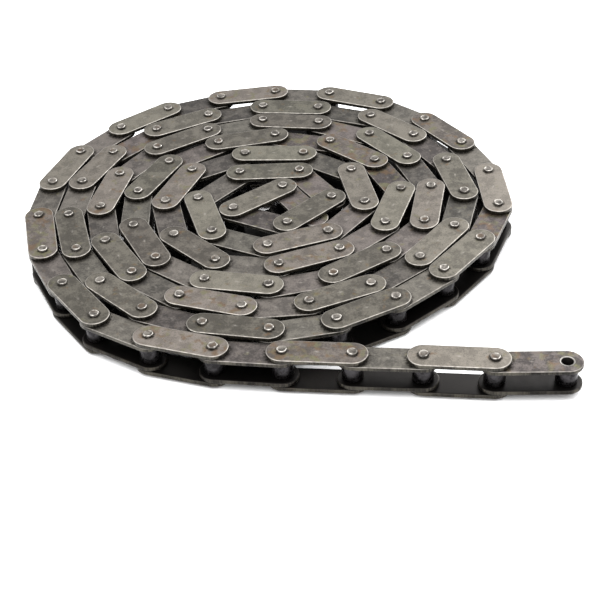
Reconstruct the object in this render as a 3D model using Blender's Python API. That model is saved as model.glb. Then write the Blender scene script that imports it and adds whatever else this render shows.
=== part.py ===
"""Coil of double-pitch conveyor roller chain, lying on its side on a level floor.

The chain is wound flat, like a clock spring, and its outer end runs off straight along +X.
All its pins stand upright and the riveted heads of the lower pin ends carry it.
Units are metres, +Z is up, and the origin is the middle of the footprint, at floor level.
"""
import math

import bmesh
import bpy
import numpy as np
from mathutils import Matrix

# Chain sizes, as such chain is sold: 31.75 mm pitch with small rollers
PITCH = 0.03175
PLATE_HEIGHT = 0.0148
PLATE_THICKNESS = 0.00203
INNER_WIDTH = 0.0094
PLATE_GAP = 0.0003
PIN_RADIUS = 0.00254
PIN_LENGTH = 0.0207
BUSH_RADIUS = 0.0036
ROLLER_RADIUS = 0.00508
SEAT_GAP = 0.0003
TURNING_GAP = 0.0002

# The chain's joints are numbered from the coil's heart to the free end
FIRST_JOINT = 0
LAST_JOINT = 95
COIL_LINKS_JOINED_BY_FOUR = 44
TAIL_START = 90

# How far the chain turns at its joints 1 to 94, in degrees, from the heart out: a turn to a row, then
# the looser end of the outermost turn and the free end. It is wound by hand, so no two turns are alike.
BENDS = (
    (96, 115.5, 71.5, 78.5),
    (57.5, 48.5, 57.5, 48.5, 43.5, 35.5, 47.5, 43),
    (32.5, 32, 39, 34.5, 32, 37, 29, 22.5, 30, 41, 24.5),
    (25.5, 27.5, 24, 28.5, 28, 24, 27, 26.5, 23.5, 22, 15.5, 30, 30, 18),
    (23.5, 20.5, 24, 15.5, 23.5, 22.5, 24, 18.5, 21, 21, 21, 19.5, 17, 14, 23, 25.5, 18.5, 15),
    (23.5, 14.5, 19.5, 13, 20, 19, 19.5, 20, 14, 16.5, 21.5, 12.5, 21.5, 17.5, 12.5, 11, 16.5, 25.5, 18),
    (13.5, 13, 19, 15, 15.5, 12.5, 18, 13, 18.5, 15.5, 17, 14.5, 8.5, 23.5, 13, 10.5),
    (2, 0.5, -1, 4.5),
)

# Turns that lie on each other settle until all side plates have this much from middle to middle
SAFE_DISTANCE = PLATE_HEIGHT + 0.0003
SETTLING_STEPS = 600
PITCH_STEPS = 6
FAR_AWAY = 1.0

# Sides of the round shapes: the coil's pieces are plainer than the free end's
COIL_ARC = 4
COIL_PIN_SIDES = 6
COIL_ROLLER_SIDES = 8
COIL_BORE_GAP = 0.00035
JOINING_DEPTH = 0.0002
TAIL_ARC = 8
TAIL_SIDES = 12
WELD_DISTANCE = 0.000001
FLAT_ANGLE = 0.001
METALLIC = 0.9

# Heights that follow from the sizes above, from the floor up
MIDDLE = PIN_LENGTH / 2
INNER_FACE = INNER_WIDTH / 2
ROLLER_END = INNER_FACE - SEAT_GAP
INNER_PLATE_TOP = INNER_FACE + PLATE_THICKNESS
OUTER_PLATE_BASE = INNER_PLATE_TOP + PLATE_GAP
OUTER_PLATE_TOP = OUTER_PLATE_BASE + PLATE_THICKNESS


def clear_scene():
    """Take every object out of the open file."""
    for thing in list(bpy.data.objects):
        bpy.data.objects.remove(thing, do_unlink=True)


def direction(angle):
    """Unit vector at an angle from +X."""
    return np.array([math.cos(angle), math.sin(angle)])


def laid_out():
    """Joints of the chain from its bends: each link is a pitch long and turned from the one before."""
    bends = [bend for turn in BENDS for bend in turn]
    headings = np.radians(np.cumsum([0.0] + bends))
    runs = PITCH * np.stack([np.cos(headings), np.sin(headings)], axis=1)
    return np.vstack([np.zeros((1, 2)), np.cumsum(runs, axis=0)])


def is_outer(link):
    """Every second link is an outer one, whose plates hold the pins."""
    return link % 2 == 1


def nearest_on_links(joints):
    """Distance, offset and place along the link, from every joint to every link.

    Links that meet are left out. So is the open end at the heart where it lies between
    the plates of an outer link, which its own narrower inner plates can do.
    """
    starts = joints[:-1]
    runs = joints[1:] - starts
    reach = joints[:, None] - starts[None]
    along = np.clip((reach * runs).sum(-1) / (runs * runs).sum(-1), 0, 1)
    offset = reach - along[..., None] * runs
    distance = np.linalg.norm(offset, axis=-1)
    joint = np.arange(len(joints))[:, None]
    link = np.arange(len(joints) - 1)[None]
    neighbours = (joint >= link - 1) & (joint <= link + 2)
    slipped_between = (joint == FIRST_JOINT) & is_outer(link)
    distance[neighbours | slipped_between] = FAR_AWAY
    return distance, offset, along


def push_apart(joints):
    """Move joints and links that are too close to each other half of the way apart."""
    distance, offset, along = nearest_on_links(joints)
    joint, link = np.nonzero(distance < SAFE_DISTANCE)
    gap = distance[joint, link][:, None]
    part = along[joint, link][:, None]
    push = (SAFE_DISTANCE - gap) * offset[joint, link] / gap
    push *= 0.5 / (1 + (1 - part) ** 2 + part ** 2)
    moved = np.zeros_like(joints)
    np.add.at(moved, joint, push)
    np.add.at(moved, link, -push * (1 - part))
    np.add.at(moved, link + 1, -push * part)
    return joints + moved


def restore_pitch(joints):
    """Bring the links back to their length, every other link at a time."""
    for first in (0, 1):
        runs = joints[1:] - joints[:-1]
        length = np.linalg.norm(runs, axis=1)[:, None]
        shift = 0.5 * (length - PITCH) / length * runs
        joints[first:-1:2] += shift[first::2]
        joints[first + 1::2] -= shift[first::2]
    return joints


def settle(joints):
    """Let the turns push each other apart until the side plates are clear of each other."""
    for _ in range(SETTLING_STEPS):
        joints = push_apart(joints)
        for _ in range(PITCH_STEPS):
            joints = restore_pitch(joints)
    runs = np.diff(joints, axis=0)
    runs *= PITCH / np.linalg.norm(runs, axis=1)[:, None]
    return np.vstack([joints[:1], joints[0] + np.cumsum(runs, axis=0)])


def turned_to_x(joints):
    """Turn the plan until the free end lies along +X."""
    run = joints[LAST_JOINT] - joints[TAIL_START + 1]
    tilt = math.atan2(run[1], run[0])
    cosine = math.cos(tilt)
    sine = math.sin(tilt)
    return joints @ np.array([[cosine, -sine], [sine, cosine]])


def chain_route():
    """Plan of all the joints, with the free end along +X and the footprint about the origin."""
    joints = turned_to_x(settle(laid_out()))
    outlines = [plate_outline(joints[i], joints[i + 1], arc_of(i)) for i in range(LAST_JOINT)]
    corners = np.vstack(outlines)
    return joints - (corners.min(axis=0) + corners.max(axis=0)) / 2


def arc_of(link):
    """Segments in the round end of a link's plates."""
    return TAIL_ARC if link >= TAIL_START else COIL_ARC


def plate_outline(start, end, segments):
    """Corners of a side plate: straight edges and a round end about each joint."""
    run = end - start
    heading = math.atan2(run[1], run[0])
    half = PLATE_HEIGHT / 2
    corners = []
    for middle, first in ((end, heading - math.pi / 2), (start, heading + math.pi / 2)):
        for step in range(segments + 1):
            corners.append(middle + half * direction(first + math.pi * step / segments))
    return corners


def ring_outline(middle, radius, sides):
    """Corners of a round shape, drawn round it so that its flats lie at the radius."""
    reach = radius / math.cos(math.pi / sides)
    return [middle + reach * direction(2 * math.pi * (step + 0.5) / sides) for step in range(sides)]


def round_outline(middle, radius, sides):
    """Corners of a round shape, on the radius itself."""
    return [middle + radius * direction(2 * math.pi * (step + 0.5) / sides) for step in range(sides)]


def slab(name, outlines, low, high):
    """Flat piece between two heights above the chain's mid-plane; further outlines are holes."""
    curve = bpy.data.curves.new(name, "CURVE")
    curve.dimensions = "2D"
    curve.fill_mode = "BOTH"
    curve.extrude = (high - low) / 2
    for outline in outlines:
        spline = curve.splines.new("POLY")
        spline.points.add(len(outline) - 1)
        for point, corner in zip(spline.points, outline):
            point.co = (corner[0], corner[1], 0.0, 1.0)
        spline.use_cyclic_u = True
    drawing = bpy.data.objects.new(name, curve)
    bpy.context.scene.collection.objects.link(drawing)
    mesh = evaluated_mesh(drawing)
    bpy.data.objects.remove(drawing, do_unlink=True)
    mesh.transform(Matrix.Translation((0.0, 0.0, MIDDLE + (low + high) / 2)))
    return solid_object(name, welded(mesh))


def evaluated_mesh(thing):
    """Mesh of an object with its modifiers or curve settings worked in."""
    bpy.context.view_layer.update()
    graph = bpy.context.evaluated_depsgraph_get()
    return bpy.data.meshes.new_from_object(thing.evaluated_get(graph))


def welded(mesh):
    """Join the loose caps of a drawn outline to its walls."""
    work = bmesh.new()
    work.from_mesh(mesh)
    bmesh.ops.remove_doubles(work, verts=work.verts, dist=WELD_DISTANCE)
    bmesh.ops.dissolve_limit(work, angle_limit=FLAT_ANGLE, verts=work.verts, edges=work.edges)
    bmesh.ops.recalc_face_normals(work, faces=work.faces)
    work.to_mesh(mesh)
    work.free()
    return mesh


def solid_object(name, mesh):
    """New object for a mesh, in the chain's collection."""
    solid = bpy.data.objects.new(name, mesh)
    bpy.data.collections["conveyor_chain_coil"].objects.link(solid)
    return solid


def combined(base, others, operation):
    """Join solids to the first one, or cut them from it, and take them away."""
    tools = bpy.data.collections.new("tools")
    bpy.context.scene.collection.children.link(tools)
    for other in others:
        tools.objects.link(other)
    change = base.modifiers.new(operation.lower(), "BOOLEAN")
    change.operation = operation
    change.operand_type = "COLLECTION"
    change.collection = tools
    change.solver = "EXACT"
    mesh = evaluated_mesh(base)
    base.modifiers.clear()
    base.data = mesh
    for other in others:
        bpy.data.objects.remove(other, do_unlink=True)
    bpy.data.collections.remove(tools)
    return base


def plate_pair(link, joints, holes):
    """Upper and lower side plate of a link, with the given holes."""
    outline = plate_outline(joints[link], joints[link + 1], arc_of(link))
    low = OUTER_PLATE_BASE if is_outer(link) else INNER_FACE
    high = low + PLATE_THICKNESS
    upper = slab("upper_plate", [outline] + holes, low, high)
    lower = slab("lower_plate", [outline] + holes, -high, -low)
    return [upper, lower]


def coil_run(first, last, joints, steel):
    """Links of the coil as one solid, from an inner link's open bush to an outer link's pin."""
    pieces = []
    for link in range(first, last):
        pieces += plate_pair(link, joints, [])
    grip = JOINING_DEPTH
    half_roller = INNER_FACE + grip
    for joint in range(first, last):
        outline = round_outline(joints[joint], ROLLER_RADIUS, COIL_ROLLER_SIDES)
        pieces.append(slab("roller", [outline], -half_roller, half_roller))
    for joint in range(first + 1, last + 1):
        outline = round_outline(joints[joint], PIN_RADIUS, COIL_PIN_SIDES)
        pieces.append(slab("pin", [outline], -MIDDLE, MIDDLE))
    run = combined(pieces[0], pieces[1:], "UNION")
    bore = round_outline(joints[first], PIN_RADIUS + COIL_BORE_GAP, COIL_PIN_SIDES)
    reach = INNER_PLATE_TOP + grip
    run = combined(run, [slab("bore", [bore], -reach, reach)], "DIFFERENCE")
    return finished(run, f"coil_links_{first + 1:02d}_to_{last:02d}", steel)


def finished(solid, name, steel):
    """Name a solid and give it its steel."""
    solid.name = name
    solid.data.name = name
    solid.data.materials.clear()
    solid.data.materials.append(steel)
    return solid


def tail_plates(link, joints, steels):
    """The two separate side plates of a free-end link, with holes for bushes or pins."""
    held = PIN_RADIUS if is_outer(link) else BUSH_RADIUS
    kind = "outer" if is_outer(link) else "inner"
    holes = [round_outline(joints[i], held + SEAT_GAP, TAIL_SIDES) for i in (link, link + 1)]
    upper, lower = plate_pair(link, joints, holes)
    finished(upper, f"{kind}_plate_{link + 1}_upper", steels[kind])
    finished(lower, f"{kind}_plate_{link + 1}_lower", steels[kind])


def tail_bush(joint, joints, steels):
    """Bush through an inner link's plates, with the roller that turns on it."""
    middle = joints[joint]
    wall = round_outline(middle, BUSH_RADIUS, TAIL_SIDES)
    bore = ring_outline(middle, PIN_RADIUS + TURNING_GAP, TAIL_SIDES)
    bush = slab("bush", [wall, bore], -INNER_PLATE_TOP, INNER_PLATE_TOP)
    finished(bush, f"bush_{joint}", steels["bush"])
    rim = round_outline(middle, ROLLER_RADIUS, TAIL_SIDES)
    hollow = round_outline(middle, BUSH_RADIUS + SEAT_GAP, TAIL_SIDES)
    roller = slab("roller", [rim, hollow], -ROLLER_END, ROLLER_END)
    finished(roller, f"roller_{joint}", steels["roller"])


def tail_pin(joint, joints, steels):
    """Pin that is riveted into a free-end outer link."""
    outline = round_outline(joints[joint], PIN_RADIUS, TAIL_SIDES)
    finished(slab("pin", [outline], -MIDDLE, MIDDLE), f"pin_{joint}", steels["pin"])


def make_free_end(joints, steels):
    """Free end of the chain, every piece on its own."""
    for link in range(TAIL_START, LAST_JOINT):
        tail_plates(link, joints, steels)
        for joint in (link, link + 1):
            if is_outer(link):
                tail_pin(joint, joints, steels)
            else:
                tail_bush(joint, joints, steels)


def make_coil(joints, steel):
    """Coiled part of the chain, from its heart out."""
    by_four = list(range(FIRST_JOINT, COIL_LINKS_JOINED_BY_FOUR, 4))
    by_two = list(range(COIL_LINKS_JOINED_BY_FOUR, TAIL_START, 2))
    ends = by_four + by_two + [TAIL_START]
    for first, last in zip(ends[:-1], ends[1:]):
        coil_run(first, last, joints, steel)


def metal(name, colour, roughness):
    """Plain oiled steel."""
    material = bpy.data.materials.new(name)
    material.use_nodes = True
    shader = material.node_tree.nodes["Principled BSDF"]
    shader.inputs["Base Color"].default_value = (*colour, 1.0)
    shader.inputs["Metallic"].default_value = METALLIC
    shader.inputs["Roughness"].default_value = roughness
    return material


def main():
    """Build the whole coil."""
    clear_scene()
    chain = bpy.data.collections.new("conveyor_chain_coil")
    bpy.context.scene.collection.children.link(chain)
    joints = chain_route()
    steels = {
        "outer": metal("outer_plate_steel", (0.24, 0.23, 0.22), 0.42),
        "inner": metal("inner_plate_steel", (0.17, 0.165, 0.17), 0.45),
        "pin": metal("pin_steel", (0.2, 0.19, 0.18), 0.4),
        "bush": metal("bush_steel", (0.16, 0.155, 0.15), 0.35),
        "roller": metal("roller_steel", (0.12, 0.12, 0.12), 0.35),
    }
    make_coil(joints, metal("coil_steel", (0.2, 0.195, 0.19), 0.42))
    make_free_end(joints, steels)


main()
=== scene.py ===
"""Looks of a flat-wound coil of conveyor roller chain: plates, pins, bushes and rollers of oiled steel.

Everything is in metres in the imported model's frame: +Z is up along the pins, and the straight free
end of the chain runs along +X. The joints are numbered from the coil's heart, 0, to the open bush
of the free end, 95, and link n joins joint n to joint n + 1.
"""
import math

import bpy
import numpy as np
from mathutils import Matrix, Vector


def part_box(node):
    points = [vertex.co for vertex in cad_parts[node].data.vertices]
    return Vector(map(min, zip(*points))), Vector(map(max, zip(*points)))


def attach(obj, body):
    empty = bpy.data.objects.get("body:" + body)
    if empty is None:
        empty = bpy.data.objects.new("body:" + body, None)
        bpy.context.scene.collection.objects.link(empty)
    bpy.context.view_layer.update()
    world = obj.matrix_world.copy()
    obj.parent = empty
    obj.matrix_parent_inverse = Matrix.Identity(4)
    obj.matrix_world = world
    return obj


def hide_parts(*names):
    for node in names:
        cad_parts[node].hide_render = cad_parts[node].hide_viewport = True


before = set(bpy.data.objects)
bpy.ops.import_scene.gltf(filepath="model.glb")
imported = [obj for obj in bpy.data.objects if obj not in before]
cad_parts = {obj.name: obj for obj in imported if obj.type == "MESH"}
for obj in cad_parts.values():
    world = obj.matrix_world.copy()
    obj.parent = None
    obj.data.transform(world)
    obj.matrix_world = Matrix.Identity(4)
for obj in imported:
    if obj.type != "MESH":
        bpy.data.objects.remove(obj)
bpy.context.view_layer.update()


# The line of the chain
# It is one chain of 95 equal pitches, wound flat by hand from its heart out, on the heads of its pins.
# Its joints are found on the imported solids: every pin ends at one height, and links are a pitch long.
TAIL_START = 90
LAST_JOINT = 95
TURN_ENDS = {
    "heart": 12,
    "second_turn": 24,
    "third_turn": 36,
    "fourth_turn": 54,
    "fifth_turn": 74,
    "outer_turn": 90,
}
SAME_HEIGHT = 0.00002
PIN_SPREAD = 0.006
PLATE_SPREAD = 0.0076


def middle_of(node):
    """Plan of a solid's middle: half way between the corners of its box."""
    low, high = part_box(node)
    return np.array((low + high) / 2)[:2]


def corners_at(node, height):
    """Plan of a solid's corners at one height, each of them once."""
    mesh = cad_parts[node].data
    places = np.empty(len(mesh.vertices) * 3, np.float32)
    mesh.vertices.foreach_get("co", places)
    places = places.reshape(-1, 3)
    level = places[abs(places[:, 2] - height) < SAME_HEIGHT, :2]
    return np.unique(np.round(level, 6), axis=0)


def pin_tops(node):
    """Middles of the pins of a run of links: each is the mean of the corners that lie close together."""
    corners = corners_at(node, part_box("pin_91")[1].z)
    close = np.linalg.norm(corners[:, None] - corners[None], axis=2) < PIN_SPREAD
    first = np.unique(close.argmax(axis=1))
    return (close @ corners / close.sum(axis=1)[:, None])[first]


def runs_between(first, last):
    """Names of the solids that hold the links from joint first to joint last, from the heart out."""
    found = []
    for node in sorted(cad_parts):
        if node.startswith("coil_links"):
            low, high = (int(word) for word in node.split("_")[2::2])
            if low > first and high <= last:
                found.append(node)
    return found


joints = np.zeros((LAST_JOINT + 1, 2))
joints[LAST_JOINT] = middle_of("bush_95")
for number in range(TAIL_START + 1, LAST_JOINT):
    joints[number] = middle_of(f"pin_{number}")
PITCH = np.linalg.norm(joints[TAIL_START + 2] - joints[TAIL_START + 1])

number = TAIL_START
for run in reversed(runs_between(0, TAIL_START)):
    tops = pin_tops(run)
    while len(tops):
        reach = np.linalg.norm(tops - joints[number + 1], axis=1)
        nearest = np.argmin(abs(reach - PITCH))
        joints[number] = tops[nearest]
        tops = np.delete(tops, nearest, axis=0)
        number -= 1

# The heart's open end: its plates' corners lie evenly about the first link's own line
corners = corners_at(runs_between(0, TAIL_START)[0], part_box("inner_plate_95_upper")[1].z)
run = joints[3] - joints[2]
along = np.clip((corners - joints[2]) @ run / (run @ run), 0, 1)
aside = np.linalg.norm(corners - joints[2] - along[:, None] * run, axis=1)
beyond = np.linalg.norm(corners - joints[1], axis=1)
ahead = corners[(aside > PLATE_SPREAD) & (beyond > PITCH / 2)].mean(axis=0) - joints[1]
joints[0] = joints[1] + PITCH * ahead / np.linalg.norm(ahead)

link_middles = (joints[1:] + joints[:-1]) / 2
link_runs = joints[1:] - joints[:-1]
link_headings = np.arctan2(link_runs[:, 1], link_runs[:, 0])


# Rollers
# Plain hardened rollers, 10 mm across, one on every bush between the two inner plates.
# They turn freely on their bushes, and are dark and smooth with oil, with a small chamfer at each end.
ROLLER_RADIUS = 0.00504
ROLLER_BORE = 0.00375
ROLLER_CHAMFER = 0.0004
ROLLER_SIDES = 28
ROLLER_TURN_STEP = 1.7
DEPTH_SHADE_BASE = 0.006
DEPTH_SHADE_TOP = 0.0148
PAINTED_SHADE_BLACK = (0.006, 0.005, 0.0045, 1.0)
ROLLER_COLOUR = (0.013, 0.012, 0.013, 1.0)
ROLLER_LIGHT_COLOUR = (0.048, 0.045, 0.048, 1.0)
ROLLER_ROUGHNESS = (0.26, 0.38)
STEEL_METALLIC = 0.85
PATCH_SHARE = 0.64
MOTTLING_SHARE = 0.36
MOTTLING_SCALE = 950.0
GRIT_SCALE = 2100.0
SHARP_ANGLE = math.radians(50)


def turned(radii, heights, sides):
    """Rings of a turned shape: at angle t on the ring of radius r, x is r cos t and y is r sin t."""
    angle = np.arange(sides) * 2 * np.pi / sides
    radii = np.asarray(radii)[:, None]
    heights = np.broadcast_to(np.asarray(heights)[:, None], (len(radii), sides))
    return np.stack([radii * np.cos(angle), radii * np.sin(angle), heights], axis=-1)


def quads_between(rings, sides, closed):
    """Quads from each ring of a grid to the next, and from the last to the first where it is closed."""
    ring, side = np.meshgrid(np.arange(rings if closed else rings - 1), np.arange(sides), indexing="ij")
    next_ring = (ring + 1) % rings
    next_side = (side + 1) % sides
    here = ring * sides
    there = next_ring * sides
    quads = [here + side, here + next_side, there + next_side, there + side]
    return np.stack(quads, axis=-1).reshape(-1, 4)


def set_down(shape, middles, headings):
    """Copies of a shape, each turned about the upright axis by its heading h and moved to its middle.

    The new x is x cos h - y sin h, the new y is x sin h + y cos h, both from the middle on, and z stays.
    """
    middles = np.asarray(middles)
    cosine = np.cos(headings)[:, None]
    sine = np.sin(headings)[:, None]
    x, y, z = np.moveaxis(np.broadcast_to(shape, (len(middles),) + shape.shape[-2:]), -1, 0)
    new_x = x * cosine - y * sine + middles[:, :1]
    new_y = x * sine + y * cosine + middles[:, 1:]
    return np.stack([new_x, new_y, z], axis=-1)


def steel_piece(name, places, faces, material, body, nodes, marks=None, pattern=None):
    """One piece of many like parts: the faces of one copy are repeated for every copy.

    Marks are numbers at each vertex that the steel's finish reads, and the pattern is where each
    vertex lies on the part itself, in metres, for grain that runs along it.
    """
    copies, size = places.shape[:2]
    offsets = np.arange(copies)[:, None, None] * size
    polygons = []
    for group in faces:
        polygons += (np.asarray(group)[None] + offsets).reshape(-1, np.shape(group)[-1]).tolist()
    mesh = bpy.data.meshes.new(name)
    mesh.from_pydata(places.reshape(-1, 3), [], polygons)
    mesh.shade_smooth()
    mesh.set_sharp_from_angle(angle=SHARP_ANGLE)
    for mark, values in (marks or {}).items():
        attribute = mesh.attributes.new(mark, "FLOAT", "POINT")
        values = np.broadcast_to(values, (copies, size)).astype(np.float32)
        attribute.data.foreach_set("value", values.ravel())
    if pattern is not None:
        owner = np.empty(len(mesh.loops), np.int32)
        mesh.loops.foreach_get("vertex_index", owner)
        where = np.broadcast_to(pattern, (copies, size, 2)).reshape(-1, 2)[owner]
        layer = mesh.uv_layers.new(name="along_plate")
        layer.uv.foreach_set("vector", where.astype(np.float32).ravel())
    mesh.materials.append(material)
    piece = bpy.data.objects.new(name, mesh)
    bpy.context.scene.collection.objects.link(piece)
    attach(piece, body)
    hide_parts(*nodes)
    return piece


class Finish:
    """A material, or a shared effect, that is put together node by node."""

    def __init__(self, tree):
        self.tree = tree

    def add(self, kind, settings=None, **sockets):
        """New node; each socket takes a value, or the output that feeds it."""
        node = self.tree.nodes.new(kind)
        for key, value in (settings or {}).items():
            setattr(node, key, value)
        for key, value in sockets.items():
            socket = node.inputs[int(key[1:])] if key[1:].isdigit() else node.inputs[key.replace("_", " ")]
            if isinstance(value, bpy.types.NodeSocket):
                self.tree.links.new(value, socket)
            else:
                socket.default_value = value
        return node

    def math(self, operation, first, second=0.0):
        """Result of a sum on one or two values, kept between 0 and 1."""
        settings = {"operation": operation, "use_clamp": True}
        return self.add("ShaderNodeMath", settings, i0=first, i1=second).outputs[0]

    def noise(self, place, scale, detail=3.0, stretch=None):
        """Soft random pattern about a half, at a scale in repeats a metre, stretched where given."""
        if stretch is not None:
            place = self.add("ShaderNodeMapping", Vector=place, Scale=stretch).outputs[0]
        return self.add("ShaderNodeTexNoise", Vector=place, Scale=scale, Detail=detail).outputs["Fac"]

    def ramp(self, value, low, high, start=0.0, end=1.0):
        """Smooth step of a value from one level to another."""
        settings = {"interpolation_type": "SMOOTHSTEP"}
        limits = {"From_Min": low, "From_Max": high, "To_Min": start, "To_Max": end}
        return self.add("ShaderNodeMapRange", settings, Value=value, **limits).outputs["Result"]

    def blend(self, share, first, second, way="MIX"):
        """Two colours mixed by a share."""
        settings = {"data_type": "RGBA", "blend_type": way, "clamp_factor": True}
        return self.add("ShaderNodeMix", settings, i0=share, i6=first, i7=second).outputs[2]

    def use(self, group, **sockets):
        """A shared effect placed here with its own values."""
        return self.add("ShaderNodeGroup", {"node_tree": group}, **sockets).outputs

    def mark(self, name):
        """A number that the mesh holds at each vertex."""
        return self.add("ShaderNodeAttribute", {"attribute_name": name}).outputs["Fac"]


def shared_effect(name, inputs, outputs):
    """Empty node group with named inputs and outputs: each is a socket's kind by its name."""
    tree = bpy.data.node_groups.new(name, "ShaderNodeTree")
    for way, sockets in (("INPUT", inputs), ("OUTPUT", outputs)):
        for label, kind in sockets.items():
            tree.interface.new_socket(name=label, in_out=way, socket_type=kind)
    effect = Finish(tree)
    given = effect.add("NodeGroupInput").outputs
    result = effect.add("NodeGroupOutput").inputs
    return effect, given, result


def new_finish(name):
    """Material with a Principled shader: its finish, its shader and where a point lies on the object."""
    material = bpy.data.materials.new(name)
    material.use_nodes = True
    finish = Finish(material.node_tree)
    shader = material.node_tree.nodes["Principled BSDF"]
    place = finish.add("ShaderNodeTexCoord").outputs["Object"]
    return material, finish, shader, place


def feed(finish, shader, **sockets):
    """Give the shader its colour, roughness and the like."""
    for label, value in sockets.items():
        socket = shader.inputs[label.replace("_", " ")]
        if isinstance(value, bpy.types.NodeSocket):
            finish.tree.links.new(value, socket)
        else:
            socket.default_value = value


# Oily film: uneven darkness that lies over every surface, as patches, fine mottling and specks
film, given, result = shared_effect(
    "oil_film",
    {"Place": "NodeSocketVector", "Patch Scale": "NodeSocketFloat", "Speck Level": "NodeSocketFloat"},
    {"Film": "NodeSocketFloat", "Specks": "NodeSocketFloat", "Relief": "NodeSocketFloat"},
)
patches = film.noise(given["Place"], given["Patch Scale"], 4.0)
mottling = film.noise(given["Place"], MOTTLING_SCALE, 3.0)
grit = film.noise(given["Place"], GRIT_SCALE, 1.0)
patch_part = film.math("MULTIPLY", patches, PATCH_SHARE)
film_mix = film.math("ADD", patch_part, film.math("MULTIPLY", mottling, MOTTLING_SHARE))
film.tree.links.new(film.ramp(film_mix, 0.4, 0.6), result["Film"])
speck_top = film.math("ADD", given["Speck Level"], 0.08)
film.tree.links.new(film.ramp(grit, given["Speck Level"], speck_top), result["Specks"])
film.tree.links.new(mottling, result["Relief"])
OIL_FILM = film.tree

# Painted depth shade: everything below the upper plates is painted darker towards the bottom, as painted
# shade
deep, given, result = shared_effect("painted_depth_shade", {"Place": "NodeSocketVector"}, {"Depth": "NodeSocketFloat"})
level = deep.add("ShaderNodeSeparateXYZ", Vector=given["Place"]).outputs["Z"]
deep.tree.links.new(deep.ramp(level, DEPTH_SHADE_TOP, DEPTH_SHADE_BASE), result["Depth"])
DEPTH_SHADE = deep.tree

roller_steel, finish, shader, place = new_finish("dark_roller_steel")
look = finish.use(OIL_FILM, Place=place, Patch_Scale=260.0, Speck_Level=0.66)
colour = finish.blend(look["Film"], ROLLER_COLOUR, ROLLER_LIGHT_COLOUR)
# Painted shade: the roller is painted darker towards its lower end.
depth_shade_share = finish.math("MULTIPLY", finish.use(DEPTH_SHADE, Place=place)["Depth"], 0.5)
colour = finish.blend(depth_shade_share, colour, PAINTED_SHADE_BLACK)
bump = finish.add("ShaderNodeBump", Strength=0.12, Distance=0.00003, Height=look["Relief"])
rough = finish.ramp(look["Film"], 0.0, 1.0, *ROLLER_ROUGHNESS)
feed(finish, shader, Base_Color=colour, Metallic=STEEL_METALLIC, Roughness=rough)
feed(finish, shader, Normal=bump.outputs["Normal"])

roller_low, roller_high = (corner.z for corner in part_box("roller_95"))
face_radius = ROLLER_RADIUS - ROLLER_CHAMFER
wall_low = roller_low + ROLLER_CHAMFER
wall_high = roller_high - ROLLER_CHAMFER
roller_rings = turned(
    [face_radius, ROLLER_RADIUS, ROLLER_RADIUS, face_radius, ROLLER_BORE, ROLLER_BORE],
    [roller_low, wall_low, wall_high, roller_high, roller_high, roller_low],
    ROLLER_SIDES,
)
ROLLER_FACES = quads_between(len(roller_rings), ROLLER_SIDES, True)
ROLLER_SHAPE = roller_rings.reshape(-1, 3)


def rollers(name, numbers, body, nodes):
    """Rollers of the joints with the given numbers."""
    places = set_down(ROLLER_SHAPE, joints[numbers], np.array(numbers) * ROLLER_TURN_STEP)
    steel_piece(name, places, [ROLLER_FACES], roller_steel, body, nodes)


def turns_of_coil():
    """Name, first and last joint, and solids of each turn of the coil, from the heart out."""
    first = 0
    for turn, last in TURN_ENDS.items():
        yield turn, first, last, runs_between(first, last)
        first = last


def joints_of(links):
    """Joints at both ends of each link, as one list."""
    return [joint for link in links for joint in (link, link + 1)]


for turn, first, last, runs in turns_of_coil():
    rollers(f"{turn}_rollers", joints_of(range(first, last, 2)), "coil", runs)
for link in range(TAIL_START, LAST_JOINT, 2):
    for joint in (link, link + 1):
        rollers(f"free_end_roller_{joint}", [joint], f"link_{link + 1}", [f"roller_{joint}"])


# Bushes
# Hardened tubes pressed through the two inner plates and flush with them; rollers turn on them.
# At both ends of the chain the last bush is open: a black hole with a thin bright lip.
BUSH_RADIUS = 0.0036
BUSH_BORE = 0.00268
BUSH_LIP = 0.00025
BUSH_SIDES = 28
BUSH_TURN_STEP = 0.9
BUSH_COLOUR = (0.03, 0.027, 0.025, 1.0)
BUSH_LIP_COLOUR = (0.3, 0.285, 0.265, 1.0)
BUSH_ROUGHNESS = (0.3, 0.42)

bush_low, bush_high = (corner.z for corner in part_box("bush_95"))
bush_rings = turned(
    [BUSH_RADIUS, BUSH_RADIUS, BUSH_BORE + BUSH_LIP, BUSH_BORE, BUSH_BORE, BUSH_BORE + BUSH_LIP],
    [bush_low, bush_high, bush_high, bush_high - BUSH_LIP, bush_low + BUSH_LIP, bush_low],
    BUSH_SIDES,
)
BUSH_FACES = quads_between(len(bush_rings), BUSH_SIDES, True)
BUSH_SHAPE = bush_rings.reshape(-1, 3)
BUSH_WEAR = np.repeat([0.1, 0.25, 1.0, 0.0, 0.0, 1.0], BUSH_SIDES)

bush_steel, finish, shader, place = new_finish("bush_steel_with_bright_lip")
look = finish.use(OIL_FILM, Place=place, Patch_Scale=300.0, Speck_Level=0.7)
lip = finish.math("MULTIPLY", finish.mark("wear"), finish.ramp(look["Film"], 0.0, 1.0, 0.7, 1.0))
feed(finish, shader, Base_Color=finish.blend(lip, BUSH_COLOUR, BUSH_LIP_COLOUR), Metallic=STEEL_METALLIC)
feed(finish, shader, Roughness=finish.ramp(look["Film"], 0.0, 1.0, *BUSH_ROUGHNESS))


def bushes(name, numbers, body, nodes):
    """Bushes of the joints with the given numbers."""
    places = set_down(BUSH_SHAPE, joints[numbers], np.array(numbers) * BUSH_TURN_STEP)
    steel_piece(name, places, [BUSH_FACES], bush_steel, body, nodes, {"wear": BUSH_WEAR})


for turn, first, last, runs in turns_of_coil():
    bushes(f"{turn}_bushes", joints_of(range(first, last, 2)), "coil", runs)
for link in range(TAIL_START, LAST_JOINT, 2):
    for joint in (link, link + 1):
        bushes(f"free_end_bush_{joint}", [joint], f"link_{link + 1}", [f"bush_{joint}"])
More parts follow.
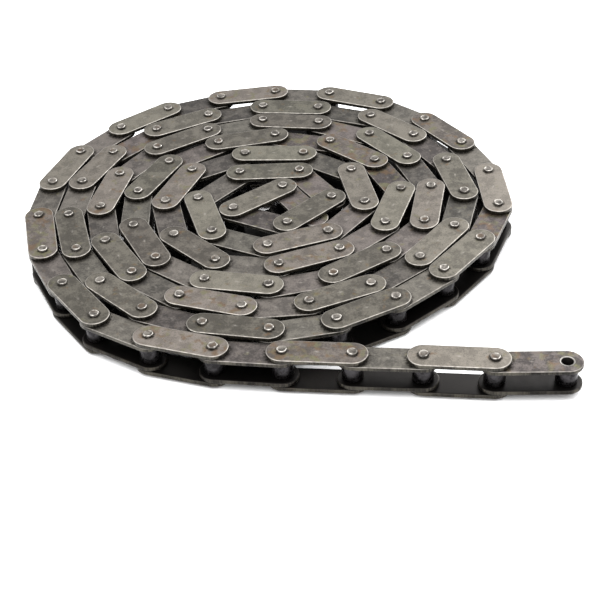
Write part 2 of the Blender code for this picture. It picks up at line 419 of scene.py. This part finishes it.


# Inner plates
# Blanked from 2 mm strip and tumbled, with straight sides and round ends, and pressed onto the bushes.
# They are darker than the outer plates and a little purple, with a dark ring about an outer plate's end
# that is partly grime and partly painted shade.
SIDE_CLEARANCE = 0.00004
EDGE_ROUNDING = 0.00034
BACK_CHAMFER = 0.0002
FACE_INSET = 0.0009
BUSH_HOLE = 0.00372
ROUNDING_STEPS = 3
END_STEPS = 18
SIDE_STEPS = 4
MIDDLE_STEPS = 6
FACE_SHARES = np.array([0.0, 0.35, 0.7, 1.0])
MERGE_DIGITS = 7
INNER_DARK = (0.026, 0.0235, 0.0235, 1.0)
INNER_PALE = (0.125, 0.113, 0.108, 1.0)
GRIME_AND_SHADE_COLOUR = (0.012, 0.01, 0.0075, 1.0)
INNER_FACE_SHADE_COLOUR = (0.014, 0.0125, 0.0135, 1.0)
SIDE_SHADE_DARK = (0.007, 0.006, 0.005, 1.0)
SIDE_SHADE_PALE = (0.075, 0.068, 0.053, 1.0)
OLIVE_TINT = (0.97, 1.0, 0.89, 1.0)
PINK_TINT = (1.06, 0.99, 0.99, 1.0)
BROWN_COLOUR = (0.1, 0.062, 0.034, 1.0)
OLIVE_COLOUR = (0.11, 0.105, 0.058, 1.0)
WORN_AND_HIGHLIGHT_COLOUR = (0.5, 0.47, 0.43, 1.0)
PLATE_METALLIC = 0.8
FILM_PART = 0.3
GRAIN_PART = 0.3
TONE_PART = 0.4
INNER_GRIME_AND_SHADE_RING = (6.8, 7.6, 9.8)
HALF_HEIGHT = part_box("inner_plate_95_upper")[1].x - joints[LAST_JOINT][0] - SIDE_CLEARANCE


def half_plate_line(inset):
    """Points round half of a plate about its joint: along one side, round the end, and back by the middle.

    On the sides y is the half height less the inset, and round the end the same reach turns about
    the joint, x = reach cos t and y = reach sin t. The plate's middle is half a pitch behind.
    """
    reach = HALF_HEIGHT - inset
    along = np.linspace(-PITCH / 2, 0, SIDE_STEPS, endpoint=False)
    angle = np.linspace(-np.pi / 2, np.pi / 2, END_STEPS + 1)
    across = np.linspace(reach, -reach, MIDDLE_STEPS + 1)[1:-1]
    side = np.stack([along, np.full(SIDE_STEPS, -reach)], axis=1)
    end = reach * np.stack([np.cos(angle), np.sin(angle)], axis=1)
    middle = np.stack([np.full(MIDDLE_STEPS - 1, -PITCH / 2), across], axis=1)
    return np.vstack([side, end, (side * (1, -1))[::-1], middle])


def plate_shape(thickness, hole):
    """A side plate about its own middle, with its inner face at height 0 and its outer face above it.

    Each half is a grid: round its hole, and along a profile that runs out over the inner face, up the
    side, round the outer edge and back over the outer face to the hole. Where the two halves meet
    there is no side. Returns the points, the quads, and marks for the edge, the side and the outer face.
    """
    turn = np.linspace(np.pi / 2, 0, ROUNDING_STEPS + 1)
    face = np.full(len(FACE_SHARES), FACE_INSET)
    flat = np.full(len(FACE_SHARES), thickness)
    rounded_in = EDGE_ROUNDING * (1 - np.sin(turn))
    rounded_up = thickness - EDGE_ROUNDING * (1 - np.cos(turn))
    inset = np.r_[face, BACK_CHAMFER, 0, rounded_in, face]
    height = np.r_[np.zeros(5), BACK_CHAMFER, rounded_up, flat]
    share = np.r_[FACE_SHARES, np.ones(ROUNDING_STEPS + 3), FACE_SHARES[::-1]]
    edge = np.r_[np.zeros(4), 0.35, 0.35, 0.3, 0.9, 1.0, 0.62, np.zeros(4)]
    side = np.r_[np.zeros(4), 0.5, 1, 1, 0.45, np.zeros(6)]
    outward = np.r_[np.zeros(9), np.ones(5)]
    lines = np.stack([half_plate_line(row) for row in inset])
    rim = hole * lines / np.linalg.norm(lines, axis=2)[..., None]
    plan = rim + share[:, None, None] * (lines - rim)
    rows, points = plan.shape[:2]
    half = np.concatenate([plan, np.broadcast_to(height[:, None, None], (rows, points, 1))], axis=2)
    half[..., 0] += PITCH / 2
    quads = quads_between(rows, points, True)
    row, point = np.divmod(np.arange(len(quads)), points)
    last_side_point = 2 * SIDE_STEPS + END_STEPS
    inside = (point >= last_side_point) & (row >= 3) & (row < rows - 4)
    quads = quads[~inside]
    both = np.vstack([half.reshape(-1, 3), half.reshape(-1, 3) * (-1, -1, 1)])
    quads = np.vstack([quads, quads + len(both) // 2])
    shades = np.tile(np.stack([np.repeat(mark, points) for mark in (edge, side, outward)], axis=1), (2, 1))
    rounded = np.round(both, MERGE_DIGITS)
    _, first, merged = np.unique(rounded, axis=0, return_index=True, return_inverse=True)
    used, quads = np.unique(merged.reshape(-1)[quads], return_inverse=True)
    kept = first[used]
    return both[kept], quads.reshape(-1, 4), shades[kept].T


def side_plates(name, links, levels, shape, material, body, nodes, seed):
    """Plates of the given links, one at each level.

    A level is the height of a plate's inner face, with 1 for a plate above it and -1 for one below it.
    """
    points, quads, (edge, side, outward) = shape
    draw = np.random.default_rng(seed)
    links = np.array(links)
    places = []
    faces = []
    for start, (level, up) in enumerate(levels):
        flat = points * (1, 1, up) + (0, 0, level)
        places.append(set_down(flat, link_middles[links], link_headings[links]))
        faces.append((quads if up > 0 else quads[:, ::-1]) + start * len(points))
    count = len(levels)
    covered = np.ones((len(links), len(points)))
    covered[links == 0] = points[:, 0] > 0
    covered[links == LAST_JOINT - 1] = points[:, 0] < 0
    marks = {
        "edge": np.tile(edge, count),
        "side": np.tile(side, count),
        "outward": np.tile(outward, count),
        "covered": np.tile(covered * outward, (1, count)),
        "tone": np.repeat(draw.uniform(0, 1, (len(links), count)), len(points), axis=1),
        "stained": np.repeat(draw.uniform(0, 1, (len(links), count)), len(points), axis=1),
    }
    pattern = np.tile(points[:, :2], (count, 1))
    steel_piece(name, np.concatenate(places, axis=1), faces, material, body, nodes, marks, pattern)


# Worn edge and painted highlight: the rounded rim of a plate is painted lighter, partly as wear and partly
# as a painted highlight, more in some places than in others
effect, given, result = shared_effect(
    "worn_edge_and_painted_highlight",
    {"Place": "NodeSocketVector", "Edge": "NodeSocketFloat", "Amount": "NodeSocketFloat"},
    {"Worn_And_Highlight": "NodeSocketFloat"},
)
uneven = effect.ramp(effect.noise(given["Place"], 420.0, 3.0), 0.3, 0.7, 0.45, 1.0)
worn_and_highlight = effect.math("MULTIPLY", effect.ramp(given["Edge"], 0.3, 1.0), uneven)
effect.tree.links.new(effect.math("MULTIPLY", worn_and_highlight, given["Amount"]), result["Worn_And_Highlight"])
WORN_EDGE_AND_HIGHLIGHT = effect.tree

# Distance to the joint: how far a point of a plate lies from the nearer of its two holes, in millimetres
effect, given, result = shared_effect(
    "joint_distance",
    {"Along Plate": "NodeSocketVector"},
    {"Millimetres": "NodeSocketFloat"},
)
parts = effect.add("ShaderNodeSeparateXYZ", Vector=given["Along Plate"]).outputs
ahead_of = effect.add("ShaderNodeMath", {"operation": "ABSOLUTE"}, i0=parts["X"]).outputs[0]
half_pitch = float(PITCH / 2)
ahead_of = effect.add("ShaderNodeMath", {"operation": "SUBTRACT"}, i0=ahead_of, i1=half_pitch).outputs[0]
flat_reach = effect.add("ShaderNodeCombineXYZ", X=ahead_of, Y=parts["Y"]).outputs[0]
flat_reach = effect.add("ShaderNodeVectorMath", {"operation": "LENGTH"}, i0=flat_reach).outputs["Value"]
millimetres = effect.add("ShaderNodeMath", {"operation": "MULTIPLY"}, i0=flat_reach, i1=1000.0).outputs[0]
effect.tree.links.new(millimetres, result["Millimetres"])
JOINT_DISTANCE = effect.tree

# Oil stain: brown and olive patches of old oil, thickest about the joints and on the stained plates
effect, given, result = shared_effect(
    "oil_stain",
    {
        "Place": "NodeSocketVector",
        "Millimetres": "NodeSocketFloat",
        "Stained": "NodeSocketFloat",
        "Amount": "NodeSocketFloat",
    },
    {"Stain": "NodeSocketFloat", "Colour": "NodeSocketColor"},
)
cloud = effect.noise(given["Place"], 210.0, 5.0)
near_joint = effect.ramp(given["Millimetres"], 8.0, 3.0, 0.0, 0.05)
level = effect.math("ADD", cloud, near_joint)
level = effect.math("ADD", level, effect.ramp(given["Stained"], 0.6, 1.0, 0.0, 0.16))
stain = effect.math("MULTIPLY", effect.ramp(level, 0.6, 0.78), given["Amount"])
effect.tree.links.new(stain, result["Stain"])
hue = effect.ramp(effect.noise(given["Place"], 140.0, 2.0), 0.42, 0.58)
effect.tree.links.new(effect.blend(hue, OLIVE_COLOUR, BROWN_COLOUR), result["Colour"])
OIL_STAIN = effect.tree

# Strip grain: fine lines along the plate from rolling, crossed by the short marks of tumbling
effect, given, result = shared_effect(
    "strip_grain",
    {"Along Plate": "NodeSocketVector", "Tone": "NodeSocketFloat"},
    {"Grain": "NodeSocketFloat"},
)
shift = effect.add("ShaderNodeCombineXYZ", X=given["Tone"], Y=given["Tone"]).outputs[0]
summed = {"operation": "ADD"}
moved = effect.add("ShaderNodeVectorMath", summed, i0=given["Along Plate"], i1=shift).outputs[0]
lines = effect.noise(moved, 1.0, 4.0, (90.0, 1500.0, 1.0))
marks = effect.noise(moved, 1.0, 3.0, (1300.0, 700.0, 1.0))
both = effect.math("ADD", effect.math("MULTIPLY", lines, 0.6), effect.math("MULTIPLY", marks, 0.4))
effect.tree.links.new(both, result["Grain"])
STRIP_GRAIN = effect.tree


def plate_steel(name, dark, pale, grime_and_shade_ring, edge_amount, stain_amount):
    """Finish of a side plate: tumbled strip with an oily film, stains, a dark ring of grime and painted
    shade, painted shade on its sides, inner faces and lower parts, and edges partly worn, partly painted
    highlight.
    """
    material, finish, shader, place = new_finish(name)
    along = finish.add("ShaderNodeUVMap", {"uv_map": "along_plate"}).outputs[0]
    tone = finish.mark("tone")
    side = finish.mark("side")
    look = finish.use(OIL_FILM, Place=place, Patch_Scale=180.0, Speck_Level=0.6)
    grain = finish.use(STRIP_GRAIN, Along_Plate=along, Tone=tone)["Grain"]
    reach = finish.use(JOINT_DISTANCE, Along_Plate=along)["Millimetres"]
    film_part = finish.math("MULTIPLY", look["Film"], FILM_PART)
    shade = finish.math("ADD", film_part, finish.math("MULTIPLY", grain, GRAIN_PART))
    shade = finish.math("ADD", shade, finish.math("MULTIPLY", tone, TONE_PART))
    colour = finish.blend(finish.ramp(shade, 0.08, 0.92), dark, pale)
    stained = finish.mark("stained")
    tint = finish.blend(stained, OLIVE_TINT, PINK_TINT)
    colour = finish.blend(1.0, colour, tint, "MULTIPLY")
    stain = finish.use(OIL_STAIN, Place=place, Millimetres=reach, Stained=stained, Amount=stain_amount)
    colour = finish.blend(stain["Stain"], colour, stain["Colour"])
    # Dark ring about each joint: partly grime, partly painted shade under the end of an outer plate and
    # round a pin's head.
    inner, middle, outer = grime_and_shade_ring
    ring = finish.math("MULTIPLY", finish.ramp(reach, inner, middle), finish.ramp(reach, outer, middle))
    ring = finish.math("MULTIPLY", ring, finish.mark("covered"))
    crumbs = finish.ramp(finish.noise(place, 640.0, 4.0), 0.42, 0.56, 0.1, 0.95)
    grime_and_shade = finish.math("MULTIPLY", ring, crumbs)
    grime_and_shade = finish.math("MAXIMUM", grime_and_shade, finish.math("MULTIPLY", look["Specks"], 0.45))
    colour = finish.blend(grime_and_shade, colour, GRIME_AND_SHADE_COLOUR)
    # Painted shade: the inner faces, which lie against other plates, are painted dark.
    hidden = finish.math("SUBTRACT", finish.math("SUBTRACT", 1.0, finish.mark("outward")), side)
    colour = finish.blend(finish.math("MULTIPLY", hidden, 0.85), colour, INNER_FACE_SHADE_COLOUR)
    depth = finish.use(DEPTH_SHADE, Place=place)["Depth"]
    # Sides: fine shear lines, and painted shade that keeps the whole side dark.
    sheared_side_and_shade = finish.blend(finish.ramp(grain, 0.38, 0.62), SIDE_SHADE_DARK, SIDE_SHADE_PALE)
    colour = finish.blend(finish.math("MULTIPLY", side, 0.92), colour, sheared_side_and_shade)
    # Painted shade: darker towards the bottom, most on the inner faces.
    depth_shade_share = finish.math("MULTIPLY", depth, finish.ramp(hidden, 0.0, 1.0, 0.2, 0.85))
    colour = finish.blend(depth_shade_share, colour, PAINTED_SHADE_BLACK)
    # Edge partly real wear and partly a painted highlight along the rounded rim.
    worn_and_highlight = finish.use(WORN_EDGE_AND_HIGHLIGHT, Place=place, Edge=finish.mark("edge"), Amount=edge_amount)["Worn_And_Highlight"]
    colour = finish.blend(worn_and_highlight, colour, WORN_AND_HIGHLIGHT_COLOUR)
    rough = finish.ramp(shade, 0.08, 0.92, 0.48, 0.36)
    rough = finish.math("ADD", rough, finish.math("MULTIPLY", grime_and_shade, 0.2))
    rough = finish.math("SUBTRACT", rough, finish.math("MULTIPLY", worn_and_highlight, 0.1))
    grain_relief = finish.math("MULTIPLY", grain, 0.6)
    relief = finish.math("ADD", grain_relief, finish.math("MULTIPLY", look["Relief"], 0.4))
    bump = finish.add("ShaderNodeBump", Strength=0.4, Distance=0.00006, Height=relief)
    feed(finish, shader, Base_Color=colour, Metallic=PLATE_METALLIC, Roughness=rough)
    feed(finish, shader, Normal=bump.outputs["Normal"])
    return material


inner_steel = plate_steel("inner_plate_steel", INNER_DARK, INNER_PALE, INNER_GRIME_AND_SHADE_RING, 0.5, 0.7)
inner_low, inner_high = (corner.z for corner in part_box("inner_plate_95_upper"))
under_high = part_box("inner_plate_95_lower")[1].z
INNER_SHAPE = plate_shape(inner_high - inner_low, BUSH_HOLE)
INNER_UPPER = (inner_low, 1)
INNER_LOWER = (under_high, -1)

for turn, first, last, runs in turns_of_coil():
    side_plates(
        f"{turn}_inner_plates", range(first, last, 2), [INNER_UPPER, INNER_LOWER],
        INNER_SHAPE, inner_steel, "coil", runs, first,
    )
for link in range(TAIL_START, LAST_JOINT, 2):
    for word, level in (("upper", INNER_UPPER), ("lower", INNER_LOWER)):
        node = f"inner_plate_{link + 1}_{word}"
        side_plates(
            f"free_end_{node}", [link], [level],
            INNER_SHAPE, inner_steel, f"link_{link + 1}", [node], link,
        )


# Pins
# Turned pins through the bushes, riveted over outside the outer plates so that they stay tight.
# The heads are low buttons, hammered a little out of round, with a painted highlight on the rim and a dull
# dish.
PIN_SIDES = 24
HEAD_LOBES = (2, 3, 5)
HEAD_UNEVENNESS = 0.035
DISH_UNEVENNESS = 0.00007
PIN_DARK = (0.045, 0.04, 0.035, 1.0)
PIN_PALE = (0.145, 0.133, 0.119, 1.0)
PIN_HIGHLIGHT = (0.5, 0.475, 0.44, 1.0)
PIN_BROWN = (0.075, 0.05, 0.032, 1.0)
BROWN_SHARE = 0.7
HEAD_ROUGHNESS = (0.4, 0.27)

# The head from its foot to its middle: radius, height above the plate as a share, hammered, painted
# highlight, dished
HEAD_PROFILE = np.array([
    (0.00250, 0.00, 0.0, 0.00, 0.0),
    (0.00248, 0.40, 0.5, 0.00, 0.0),
    (0.00242, 0.72, 1.0, 0.35, 0.0),
    (0.00228, 0.93, 1.0, 1.00, 0.0),
    (0.00208, 1.00, 1.0, 1.00, 0.0),
    (0.00192, 0.98, 1.0, 0.55, 0.3),
    (0.00165, 0.90, 0.8, 0.12, 0.8),
    (0.00110, 0.84, 0.6, 0.00, 1.0),
    (0.00050, 0.82, 0.3, 0.00, 1.0),
])

pin_low, pin_high = (corner.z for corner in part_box("pin_91"))
outer_low, outer_high = (corner.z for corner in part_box("outer_plate_92_upper"))
head_height = pin_high - outer_high
head_radius, head_share, head_hammered, head_highlight, head_dished = HEAD_PROFILE.T
pin_radii = np.r_[head_radius[::-1], head_radius]
head_drop = head_height * (1 - head_share)
pin_heights = np.r_[pin_low + head_drop[::-1], pin_high - head_drop]
PIN_HAMMERED = np.r_[head_hammered[::-1], head_hammered]
PIN_FACES = quads_between(len(pin_radii), PIN_SIDES, False)
PIN_CAPS = np.array([np.arange(PIN_SIDES)[::-1], np.arange(PIN_SIDES) + (len(pin_radii) - 1) * PIN_SIDES])
PIN_MARKS = {
    "bright": np.repeat(np.r_[head_highlight[::-1], head_highlight], PIN_SIDES),
    "dished": np.repeat(np.r_[head_dished[::-1], head_dished], PIN_SIDES),
}


def hammered_pins(count, draw):
    """Pins with heads out of round: the radius is scaled by 1 + sum of a cos(k t + p) over a few lobes k.

    The dish of each head is tilted and lies deeper on one side, by the same kind of wave.
    """
    angle = np.arange(PIN_SIDES) * 2 * np.pi / PIN_SIDES
    wave = np.zeros((count, PIN_SIDES))
    for lobe in HEAD_LOBES:
        size, phase = draw.uniform(0.3, 1.0, (count, 1)), draw.uniform(0, 2 * np.pi, (count, 1))
        wave += HEAD_UNEVENNESS * size * np.cos(lobe * angle + phase)
    dip = DISH_UNEVENNESS * (1 + np.cos(angle + draw.uniform(0, 2 * np.pi, (count, 1))))
    rings = np.tile(turned(pin_radii, pin_heights, PIN_SIDES), (count, 1, 1, 1))
    rings[..., :2] *= (1 + PIN_HAMMERED[:, None] * wave[:, None])[..., None]
    inward = np.sign(pin_heights - (pin_low + pin_high) / 2)
    rings[..., 2] -= (PIN_HAMMERED * inward)[:, None] * dip[:, None]
    return rings.reshape(count, -1, 3)


pin_steel, finish, shader, place = new_finish("riveted_pin_steel")
look = finish.use(OIL_FILM, Place=place, Patch_Scale=330.0, Speck_Level=0.6)
rust = finish.ramp(finish.noise(place, 70.0, 2.0), 0.54, 0.64)
colour = finish.blend(look["Film"], PIN_DARK, PIN_PALE)
brown = finish.math("MULTIPLY", finish.math("MULTIPLY", rust, finish.mark("dished")), BROWN_SHARE)
colour = finish.blend(brown, colour, PIN_BROWN)
# Painted highlight on the head's rim, broken up by noise.
highlight_breakup = finish.ramp(finish.noise(place, 480.0, 2.0), 0.42, 0.6, 0.1, 1.0)
bright = finish.math("MULTIPLY", finish.mark("bright"), highlight_breakup)
colour = finish.blend(bright, colour, PIN_HIGHLIGHT)
bump = finish.add("ShaderNodeBump", Strength=0.4, Distance=0.00008, Height=look["Relief"])
rough = finish.ramp(bright, 0.0, 1.0, *HEAD_ROUGHNESS)
feed(finish, shader, Base_Color=colour, Metallic=STEEL_METALLIC, Roughness=rough)
feed(finish, shader, Normal=bump.outputs["Normal"])


def pins(name, numbers, body, nodes):
    """Pins of the joints with the given numbers."""
    draw = np.random.default_rng(numbers[0])
    shapes = hammered_pins(len(numbers), draw)
    places = set_down(shapes, joints[numbers], draw.uniform(0, 2 * np.pi, len(numbers)))
    steel_piece(name, places, [PIN_FACES, PIN_CAPS], pin_steel, body, nodes, PIN_MARKS)


for turn, first, last, runs in turns_of_coil():
    pins(f"{turn}_pins", joints_of(range(first + 1, last, 2)), "coil", runs)
for link in range(TAIL_START + 1, LAST_JOINT, 2):
    for joint in (link, link + 1):
        pins(f"free_end_pin_{joint}", [joint], f"link_{link + 1}", [f"pin_{joint}"])


# Outer plates
# The same blanks as the inner plates with smaller holes, pressed onto the pins outside the inner plates.
# Handling has rubbed them to a pale, warm satin with brown and olive oil stains; their bright edges are
# partly wear and partly painted highlight.
OUTER_DARK = (0.045, 0.041, 0.037, 1.0)
OUTER_PALE = (0.15, 0.138, 0.124, 1.0)
OUTER_GRIME_AND_SHADE_RING = (2.2, 2.7, 3.7)
PIN_HOLE = 0.00252
lower_outer_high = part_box("outer_plate_92_lower")[1].z

outer_steel = plate_steel("outer_plate_steel", OUTER_DARK, OUTER_PALE, OUTER_GRIME_AND_SHADE_RING, 0.8, 0.75)
OUTER_SHAPE = plate_shape(outer_high - outer_low, PIN_HOLE)
OUTER_UPPER = (outer_low, 1)
OUTER_LOWER = (lower_outer_high, -1)

for turn, first, last, runs in turns_of_coil():
    side_plates(
        f"{turn}_outer_plates", range(first + 1, last, 2), [OUTER_UPPER, OUTER_LOWER],
        OUTER_SHAPE, outer_steel, "coil", runs, first + 1,
    )
for link in range(TAIL_START + 1, LAST_JOINT, 2):
    for word, level in (("upper", OUTER_UPPER), ("lower", OUTER_LOWER)):
        node = f"outer_plate_{link + 1}_{word}"
        side_plates(
            f"free_end_{node}", [link], [level],
            OUTER_SHAPE, outer_steel, f"link_{link + 1}", [node], link,
        )


# Floor
# A plain white ground, so bright that only the shade close under the chain shows on it.
FLOOR_SIZE = 6.0
FLOOR_COLOUR = (0.93, 0.935, 0.95, 1.0)

floor_mesh = bpy.data.meshes.new("white_ground")
reach = FLOOR_SIZE / 2
floor_corners = [(-reach, -reach, 0), (reach, -reach, 0), (reach, reach, 0), (-reach, reach, 0)]
floor_mesh.from_pydata(floor_corners, [], [(0, 1, 2, 3)])
floor_paint, finish, shader, place = new_finish("white_ground")
feed(finish, shader, Base_Color=FLOOR_COLOUR, Roughness=0.9, Specular_IOR_Level=0.1)
floor_mesh.materials.append(floor_paint)
ground = bpy.data.objects.new("white_ground", floor_mesh)
bpy.context.scene.collection.objects.link(ground)


# Light
# A white room, brightest overhead and dim towards its walls, with a soft lamp behind the coil on the right.
# The level plates mirror the dim back of the room, and their rounded near edges the bright ceiling.
ROOM_LIGHT = (1.0, 0.995, 0.985, 1.0)
WALL_STRENGTH = 0.6
CEILING_STRENGTH = 3.6
WALL_TOP = 0.3
CEILING_EDGE = 0.95
TOP_LIGHT_SIZE = 0.5
TOP_LIGHT_WATTS = 4.5
TOP_LIGHT_PLACE = (0.45, 0.8, 0.6)

room = bpy.data.worlds.new("white_room")
room.use_nodes = True
shell = Finish(room.node_tree)
upward = shell.add("ShaderNodeTexCoord").outputs["Generated"]
upward = shell.add("ShaderNodeSeparateXYZ", Vector=upward).outputs["Z"]
strength = shell.ramp(upward, WALL_TOP, CEILING_EDGE, WALL_STRENGTH, CEILING_STRENGTH)
feed(shell, room.node_tree.nodes["Background"], Color=ROOM_LIGHT, Strength=strength)
bpy.context.scene.world = room
bpy.context.scene.view_settings.view_transform = "Standard"

lamp = bpy.data.lights.new("top_light", "AREA")
lamp.energy = TOP_LIGHT_WATTS
lamp.size = TOP_LIGHT_SIZE
top_light = bpy.data.objects.new("top_light", lamp)
top_light.location = TOP_LIGHT_PLACE
top_light.rotation_euler = (-Vector(TOP_LIGHT_PLACE)).to_track_quat("-Z", "Y").to_euler()
bpy.context.scene.collection.objects.link(top_light)


# Camera
# It looks down on the coil from the side of the free end, at the photograph's angle and distance.
CAMERA_TURN = math.radians(7.35)
CAMERA_DOWN = math.radians(37.28)
CAMERA_ROLL = math.radians(-3.38)
CAMERA_AIM = Vector((0.00988, -0.07741, 0.0207))
CAMERA_DISTANCE = 0.6685
CAMERA_LENS = 85.24

camera = bpy.data.cameras.new("camera")
camera.lens = CAMERA_LENS
camera.clip_start = 0.05
viewer = bpy.data.objects.new("camera", camera)
look_back = Vector((
    math.sin(CAMERA_TURN) * math.cos(CAMERA_DOWN),
    -math.cos(CAMERA_TURN) * math.cos(CAMERA_DOWN),
    math.sin(CAMERA_DOWN),
))
swing = Matrix.Rotation(CAMERA_TURN, 4, "Z")
tilt = Matrix.Rotation(math.pi / 2 - CAMERA_DOWN, 4, "X")
roll = Matrix.Rotation(CAMERA_ROLL, 4, "Z")
turn_to = swing @ tilt @ roll
viewer.matrix_world = Matrix.Translation(CAMERA_AIM + CAMERA_DISTANCE * look_back) @ turn_to
bpy.context.scene.collection.objects.link(viewer)
bpy.context.scene.camera = viewer
